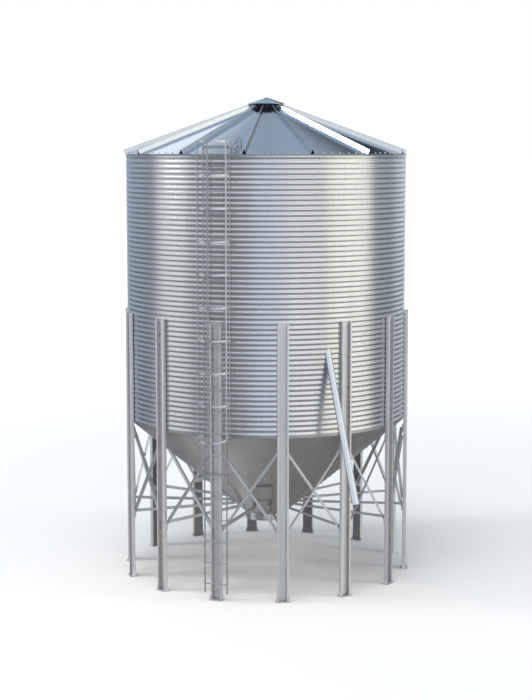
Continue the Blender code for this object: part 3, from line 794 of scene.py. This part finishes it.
def bolt_group(name, bolt, places, slot):
    """Copies the bolt to each (point, direction) and makes one piece of the copies."""
    copies = []
    for point, direction in places:
        copy = bolt.copy()
        copy.data = bolt.data.copy()
        bpy.context.scene.collection.objects.link(copy)
        turn = Vector(direction).to_track_quat("Z", "Y").to_matrix().to_4x4()
        copy.data.transform(Matrix.Translation(point) @ turn)
        copies.append(copy)
    group = join(copies)
    group.name = name
    group.data.name = name
    return finish_piece(group, slot, finish="bolt", smooth=0)


small_bolt = make_bolt("small_bolt", 0.020)
big_bolt = make_bolt("big_bolt", 0.028)
print("triangles in a bolt:", triangles(small_bolt))

# %% Bolt the eave of the roof
def outwards(azimuth, lift=0.0):
    """The direction away from the axis at an azimuth, tipped up by the lift."""
    return round_the_axis(azimuth, 1, 0) - AXIS + Vector((0, 0, lift))


EAVE_BOLT_RADIUS = 2.70
places = []
for bay in range(LEGS):
    for share in (-0.42, -0.28, -0.15, 0.15, 0.28, 0.42):
        azimuth = (bay + 0.5 + share) * BAY
        seat = round_the_axis(azimuth, EAVE_BOLT_RADIUS, roof_top(EAVE_BOLT_RADIUS))
        places.append((seat, outwards(azimuth, 1 / ROOF_SLOPE)))
bolt_group("eave_bolts", small_bolt, places, "roof_sheet")
print("eave bolts:", len(places))

# %% [markdown]
# ## The hopper
# Under the wall a smooth cone of plate leads the grain to a round outlet. The cone is a closed section
# turned once round. Where two plates meet, a narrow strip laps the seam and a row of bolts follows it.
# The outlet is a heavy ring with a flange at its foot.

# %% Turn the cone and the outlet ring
OUTLET_RADIUS = 0.415
HOPPER_STEEL = 0.008
outlet_low, outlet_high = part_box("outlet_collar")
inset = HOPPER_STEEL / sin(HOPPER_ANGLE)
cone_head = hopper_height(WALL_RADIUS)
cone_foot = hopper_height(OUTLET_RADIUS)
section = [
    (WALL_RADIUS, cone_head), (OUTLET_RADIUS, cone_foot),
    (OUTLET_RADIUS - inset, cone_foot), (WALL_RADIUS - inset, cone_head),
]
cone = draw_line("hopper", [round_the_axis(0, r, z) for r, z in section], closed=True)
spin(360, ROUND_STEPS)
close_editing()
finish_piece(cone, "hopper_plate", ["hopper_cone"])

inner = OUTLET_RADIUS - RING_STEEL
neck = OUTLET_RADIUS - 0.012
section = [
    (inner, outlet_low.z), (OUTLET_RADIUS - CORNER, outlet_low.z),
    (OUTLET_RADIUS, outlet_low.z + CORNER), (OUTLET_RADIUS, outlet_low.z + 0.022),
    (neck, outlet_low.z + 0.026), (neck, outlet_high.z), (inner, outlet_high.z),
]
outlet = draw_line("outlet", [round_the_axis(0, r, z) for r, z in section], closed=True)
spin(360, SMALL_ROUND_STEPS)
close_editing()
finish_piece(outlet, "galvanised_sheet", ["outlet_collar"])
print("cone:", triangles(cone), "outlet:", triangles(outlet))

# %% Lap the seams
SEAM_WIDTH = 0.055
SEAM_STEEL = 0.003
SEAM_TOP = 2.70
SEAM_FOOT = 0.47
SEAM_BOLTS = 24
SEAM_BOLT_MARGIN = 0.04
SEAM_FACE = 0.0022
seam_run = (SEAM_TOP - SEAM_FOOT) / cos(HOPPER_ANGLE)
seam_middle = (SEAM_TOP + SEAM_FOOT) / 2
hopper_out = Vector((0, -sin(HOPPER_ANGLE), -cos(HOPPER_ANGLE)))

bpy.ops.object.select_all(action="DESELECT")
bpy.ops.mesh.primitive_cube_add(size=1)
seam = bpy.context.object
seam.scale = (SEAM_WIDTH, seam_run, SEAM_STEEL)
seam.rotation_euler = (-HOPPER_ANGLE, 0, 0)
seam.location = round_the_axis(0, seam_middle, hopper_height(seam_middle)) + hopper_out * 0.0008
place_in_mesh(seam)
open_for_editing(seam)
pick(seam, "EDGE", lambda at, edge: edge.calc_length() > 1)
bpy.ops.mesh.bevel(offset=0.001, segments=1, affect="EDGES")
close_editing()
laps = join([turned_copy(seam, f"lap_{bay}", (bay + 0.5) * BAY) for bay in range(LEGS)])
bpy.data.objects.remove(seam, do_unlink=True)
laps.name = "hopper_laps"
laps.data.name = "hopper_laps"
finish_piece(laps, "hopper_plate", smooth=0)

places = []
for bay in range(LEGS):
    azimuth = (bay + 0.5) * BAY
    direction = outwards(azimuth) * sin(HOPPER_ANGLE) - Vector((0, 0, cos(HOPPER_ANGLE)))
    for step in range(SEAM_BOLTS):
        along = step * (SEAM_TOP - SEAM_FOOT - 2 * SEAM_BOLT_MARGIN) / (SEAM_BOLTS - 1)
        radius = SEAM_FOOT + SEAM_BOLT_MARGIN + along
        seat = round_the_axis(azimuth, radius, hopper_height(radius)) + direction * SEAM_FACE
        places.append((seat, direction))
bolt_group("hopper_bolts", small_bolt, places, "hopper_plate")
print("hopper bolts:", len(places))

# %% [markdown]
# ## The legs
# A leg is a strip of plate folded to a channel with two lips, open to the outside, on a base plate. It
# is drawn as the strip's edge in plan, its corners are rounded to the bend radius of real folded steel,
# the line is raised to a wall, and Solidify gives the plate. Small sloped cleats brace its foot. The
# side that faces the hopper gets a painted shade, a darker and duller metal picked by where its faces
# point, so that the far legs look shaded under the silo.

# %% Fold one leg
LEG_TOP = 5.20
LEG_WIDTH = 0.213
LEG_DEPTH = 0.070
LEG_LIP = 0.034
LEG_STEEL = 0.005
BEND = 0.008
PLATE = 0.012
PLATE_WIDTH = 0.264
PLATE_DEPTH = 0.15
CLEAT_HEIGHT = 0.09
leg_inner = WALL_RADIUS + 0.0003
half = LEG_WIDTH / 2
near_wall = AXIS.y - leg_inner
far_side = near_wall - LEG_DEPTH
folds = [
    (half - LEG_LIP, far_side), (half, far_side), (half, near_wall),
    (-half, near_wall), (-half, far_side), (LEG_LIP - half, far_side),
]
leg = draw_line("leg", [(x, y, PLATE) for x, y in folds])
pick(leg, "VERT", lambda at, item: abs(at.x) > half - 0.001)
bpy.ops.mesh.bevel(offset=BEND, segments=4, affect="VERTICES")
bpy.ops.mesh.select_all(action="SELECT")
bpy.ops.mesh.extrude_region_move(TRANSFORM_OT_translate={"value": (0, 0, LEG_TOP - PLATE)})
bpy.ops.mesh.select_all(action="SELECT")
bpy.ops.mesh.normals_make_consistent(inside=False)
face_away_from(leg, (0, (near_wall + far_side) / 2, LEG_TOP / 2))
close_editing()
thicken(leg, LEG_STEEL)
print("leg:", triangles(leg), "triangles")

# %% Add the base plate and the cleats
def bar(size, centre, turn=(0, 0, 0), corner=0.0015, segments=1):
    """A flat bar or block with its long edges broken."""
    bpy.ops.object.select_all(action="DESELECT")
    bpy.ops.mesh.primitive_cube_add(size=1, location=centre, rotation=turn)
    block = bpy.context.object
    block.scale = size
    bpy.ops.object.transform_apply(location=False, rotation=False, scale=True)
    open_for_editing(block)
    longest = max(size)
    pick(block, "EDGE", lambda at, edge: edge.calc_length() > longest * 0.99)
    bpy.ops.mesh.bevel(offset=corner, segments=segments, affect="EDGES")
    close_editing()
    place_in_mesh(block)
    return block


plate_middle = near_wall - LEG_DEPTH / 2
plate = bar((PLATE_WIDTH, PLATE_DEPTH, PLATE), (0, plate_middle, PLATE / 2), corner=0.002)
cleats = []
inside = half - 0.0005
outside = PLATE_WIDTH / 2 - 0.002
for side in (-1, 1):
    centre = (side * (inside + outside) / 2, plate_middle, PLATE + CLEAT_HEIGHT / 2)
    cleat = bar((outside - inside, LEG_DEPTH * 0.8, CLEAT_HEIGHT), centre, corner=0.001)
    open_for_editing(cleat)
    pick(cleat, "VERT", lambda at, item: at.z > PLATE + 0.08 and abs(at.x) > (inside + outside) / 2)
    bpy.ops.transform.translate(value=(-side * (outside - inside - 0.005), 0, 0))
    close_editing()
    cleats.append(cleat)
join([leg, plate] + cleats)
for number in range(LEGS):
    copy = turned_copy(leg, f"channel_leg_{number + 1:02d}", number * BAY)
    finish_piece(copy, "leg_steel", [f"leg_{number + 1:02d}"])
    # The faces that point to the axis get the painted shade, a darker metal in place of real shadow.
    copy.data.materials.append(FINISHES["leg_painted_shade"])
    inwards = -outwards(number * BAY)
    for face in copy.data.polygons:
        if face.normal.dot(inwards) > 0.9:
            face.material_index = 1
bpy.data.objects.remove(leg, do_unlink=True)
print("legs with plates:", LEGS)

# %% Bolt the feet, the lugs and the wall
def beside(azimuth, across, radius, height):
    """A point at a sideways distance from the middle of a leg."""
    angle = radians(azimuth)
    return round_the_axis(azimuth, radius, height) + Vector((cos(angle), sin(angle), 0)) * across


ANCHOR_RADII = (leg_inner + LEG_DEPTH * 0.42, leg_inner + LEG_DEPTH + 0.012)
places = []
for number in range(LEGS):
    azimuth = number * BAY
    for across in (-0.045, 0.045):
        for radius in ANCHOR_RADII:
            places.append((beside(azimuth, across, radius, PLATE), (0, 0, 1)))
bolt_group("anchor_bolts", big_bolt, places, "leg_steel")
print("anchor bolts:", len(places))

BRACE_LOW = 1.26
BRACE_HIGH = 2.85
LUG_DEPTH = 0.0165
WALL_BOLT_FIRST = 3.22
WALL_BOLT_STEP = 0.1875
WALL_BOLTS = 11
places = []
for number in range(LEGS):
    azimuth = number * BAY
    for across in (-0.065, 0.065):
        for height in (BRACE_LOW, BRACE_HIGH):
            for rise in (-0.035, 0.035):
                at = height + rise
                places.append((beside(azimuth, across, leg_inner + LEG_STEEL, at), outwards(azimuth)))
                places.append((beside(azimuth, across, leg_inner - LUG_DEPTH, at), -outwards(azimuth)))
    for step in range(WALL_BOLTS):
        for across in (-0.06, 0.06):
            height = WALL_BOLT_FIRST + step * WALL_BOLT_STEP
            places.append((beside(azimuth, across, leg_inner + LEG_STEEL, height), outwards(azimuth)))
bolt_group("leg_bolts", small_bolt, places, "leg_steel")
print("leg bolts:", len(places))

# %% [markdown]
# ## The ladder
# Two flat bars with round rungs between them stand 0.15 m off the wall on brackets. The bars start as
# boxes with broken edges and the rungs as cylinders with a small inset ring on each end face. Everything
# is joined to one piece.

# %% Build the ladder
LADDER_RADIUS = 2.90
LADDER_SHIFT = 0.035
LADDER_WIDTH = 0.45
LADDER_FOOT = 0.165
LADDER_HEAD = 8.50
STRINGER = (0.012, 0.05)
RUNG = 0.0125
RUNG_FIRST = 0.338
RUNG_STEP = 0.4036
RUNGS = 20
BRACKETS = (2.40, 4.85, 6.60, 8.05)
ladder_y = AXIS.y - LADDER_RADIUS
spread = (LADDER_WIDTH - STRINGER[0]) / 2
pieces = []
for side in (-1, 1):
    centre = (LADDER_SHIFT + side * spread, ladder_y, (LADDER_HEAD + LADDER_FOOT) / 2)
    pieces.append(bar((*STRINGER, LADDER_HEAD - LADDER_FOOT), centre, corner=0.003, segments=2))
for number in range(RUNGS):
    bpy.ops.object.select_all(action="DESELECT")
    height = RUNG_FIRST + number * RUNG_STEP
    centre = (LADDER_SHIFT, ladder_y, height)
    bpy.ops.mesh.primitive_cylinder_add(vertices=16, radius=RUNG, depth=2 * spread,
                                        location=centre, rotation=(0, pi / 2, 0))
    rung = bpy.context.object
    place_in_mesh(rung)
    open_for_editing(rung)
    pick(rung, "FACE", lambda at, face: abs(face.normal.x) > 0.9)
    bpy.ops.mesh.inset(thickness=0.002, depth=0)
    close_editing()
    pieces.append(rung)
print("rungs:", RUNGS)

# %% Add the brackets and the step at the head
FLAT = 0.006
CAGE_BAR = 0.036
for height in BRACKETS:
    seat = leg_inner + LEG_DEPTH + 0.0003 if height < LEG_TOP else WALL_RADIUS + 0.0003
    pieces.append(bar((LADDER_WIDTH, FLAT, CAGE_BAR), (LADDER_SHIFT, AXIS.y - seat - FLAT / 2, height)))
    for side in (-1, 1):
        x = LADDER_SHIFT + side * (LADDER_WIDTH - FLAT) / 2
        centre = (x, AXIS.y - (LADDER_RADIUS + seat) / 2, height)
        pieces.append(bar((FLAT, LADDER_RADIUS - seat, CAGE_BAR), centre))
STEP_HEIGHT = 8.36
STEP_REACH = 0.24
STEP_SLATS = 5
for slat in range(STEP_SLATS):
    y = ladder_y + 0.02 + slat * (STEP_REACH - 0.04) / (STEP_SLATS - 1)
    pieces.append(bar((2 * spread, 0.03, 0.012), (LADDER_SHIFT, y, STEP_HEIGHT)))
for y in (ladder_y + 0.006, ladder_y + STEP_REACH - 0.006):
    pieces.append(bar((2 * spread, 0.012, 0.05), (LADDER_SHIFT, y, STEP_HEIGHT + 0.02)))
for side in (-1, 1):
    x = LADDER_SHIFT + side * (spread - 0.010)
    centre = (x, ladder_y + STEP_REACH / 2, STEP_HEIGHT + 0.005)
    pieces.append(bar((0.008, STEP_REACH - 0.02, 0.03), centre))
ladder = join(pieces)
ladder.name = "caged_ladder"
ladder.data.name = "caged_ladder"
finish_piece(ladder, "ladder_steel", ["ladder"])
print("ladder:", triangles(ladder), "triangles")

# %% [markdown]
# ## The safety cage
# Ten flat hoops and five upright straps keep a climber from falling back. A hoop is drawn in plan from
# one ladder bar round to the other, raised to its width and given its thickness. The lowest hoop hangs
# lower at the front. The bolts of the front strap have their heads on the inner side.

# %% Bend the hoops
CAGE_RADIUS = 0.312
CAGE_CENTRE = 2.96
HOOP_FIRST = 3.13
HOOP_STEP = 0.5943
HOOPS = 10
HOOP_DROOP = 0.08
HOOP_SEGMENTS = 32
HOOP_END = 0.0125
cage_y = AXIS.y - CAGE_CENTRE
cage_front = cage_y - CAGE_RADIUS - FLAT / 2


def hoop_line(height, droop):
    start = LADDER_WIDTH / 2 + 0.0003 + FLAT / 2
    plan = [(-start, ladder_y + HOOP_END), (-start, ladder_y - HOOP_END)]
    for step in range(HOOP_SEGMENTS + 1):
        angle = radians(-90 + step * 180 / HOOP_SEGMENTS)
        plan.append((CAGE_RADIUS * sin(angle), cage_y - CAGE_RADIUS * cos(angle)))
    plan += [(start, ladder_y - HOOP_END), (start, ladder_y + HOOP_END)]
    reach = ladder_y - cage_front
    return [(x + LADDER_SHIFT, y, height - droop * max(0, ladder_y - y) / reach) for x, y in plan]


hoops = []
for number in range(HOOPS):
    low = HOOP_FIRST + number * HOOP_STEP - CAGE_BAR / 2
    hoop = draw_line(f"hoop_{number}", hoop_line(low, 0 if number else HOOP_DROOP))
    bpy.ops.mesh.select_all(action="SELECT")
    bpy.ops.mesh.extrude_region_move(TRANSFORM_OT_translate={"value": (0, 0, CAGE_BAR)})
    bpy.ops.mesh.select_all(action="SELECT")
    bpy.ops.mesh.normals_make_consistent(inside=False)
    face_away_from(hoop, (LADDER_SHIFT, cage_y, low))
    close_editing()
    shell = hoop.modifiers.new("thickness", "SOLIDIFY")
    shell.thickness = FLAT
    shell.offset = 0
    finish_modifiers(hoop)
    hoops.append(hoop)
print("hoops:", len(hoops))

# %% Add the upright straps and their bolts
STRAP_WIDTH = 0.032
STRAP_ANGLES = (-90, -67.5, 0, 67.5, 90)
top = HOOP_FIRST + (HOOPS - 1) * HOOP_STEP + CAGE_BAR / 2
places = []
for angle in STRAP_ANGLES:
    turn = radians(angle)
    radius = CAGE_RADIUS - FLAT
    forward = (ladder_y - cage_y + radius * cos(turn)) / (ladder_y - cage_front)
    foot = HOOP_FIRST - CAGE_BAR / 2 - HOOP_DROOP * forward
    centre = (LADDER_SHIFT + radius * sin(turn), cage_y - radius * cos(turn), (top + foot) / 2)
    hoops.append(bar((STRAP_WIDTH, FLAT, top - foot), centre, (0, 0, turn), corner=0.001))
    outside = Vector((sin(turn), -cos(turn), 0))
    facing = outside if angle else -outside
    seat = CAGE_RADIUS + FLAT / 2 - 0.0005 if angle else CAGE_RADIUS - 1.5 * FLAT + 0.0005
    for number in range(HOOPS):
        height = HOOP_FIRST + number * HOOP_STEP - (0 if number else HOOP_DROOP * forward)
        point = Vector((LADDER_SHIFT, cage_y, height)) + outside * seat
        places.append((point, facing))
cage = join(hoops)
cage.name = "safety_cage"
cage.data.name = "safety_cage"
finish_piece(cage, "ladder_steel", ["ladder_cage"])
cage_bolt = make_bolt("cage_bolt", 0.014)
bolt_group("cage_bolts", cage_bolt, places, "ladder_steel")
print("cage:", triangles(cage), "triangles,", len(places), "bolts")

# %% [markdown]
# ## The inclined tube
# A bright rolled tube leaves the wall and runs down and outwards to an open end. It is a cylinder
# without end faces, leaned to its slope, with its upper end inside the sheet and a real wall at its
# mouth.

# %% Roll the tube
TUBE_AZIMUTH = 44.0
TUBE_RADIUS = 0.0635
TUBE_STEEL = 0.006
TUBE_TOP = 4.543
TUBE_END_RADIUS = 3.858
TUBE_END_HEIGHT = 2.006
TUBE_BURIED = 0.20
start = round_the_axis(0, WALL_RADIUS, TUBE_TOP)
end = round_the_axis(0, TUBE_END_RADIUS, TUBE_END_HEIGHT)
run = end - start
start = start - run.normalized() * TUBE_BURIED
length = (end - start).length
lean = atan2(start.y - end.y, start.z - end.z)
bpy.ops.object.select_all(action="DESELECT")
bpy.ops.mesh.primitive_cylinder_add(vertices=48, radius=TUBE_RADIUS, depth=length,
                                    end_fill_type="NOTHING", location=(start + end) / 2,
                                    rotation=(-lean, 0, 0))
tube = bpy.context.object
tube.name = "grain_tube"
place_in_mesh(tube)
thicken(tube, TUBE_STEEL)
piece = turned_copy(tube, "outlet_tube", TUBE_AZIMUTH)
bpy.data.objects.remove(tube, do_unlink=True)
finish_piece(piece, "tube_steel", ["inclined_tube"])
print("tube:", round(length, 3), "m long")

# %% [markdown]
# ## Finish
# The spare bolts go, and the triangles of the dressed silo are counted and printed.

# %% Tidy up and measure
for spare in (small_bolt, big_bolt, cage_bolt):
    bpy.data.objects.remove(spare, do_unlink=True)
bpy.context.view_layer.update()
total = sum(triangles(piece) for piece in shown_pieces() if piece.type == "MESH")
print("triangles in all:", total)
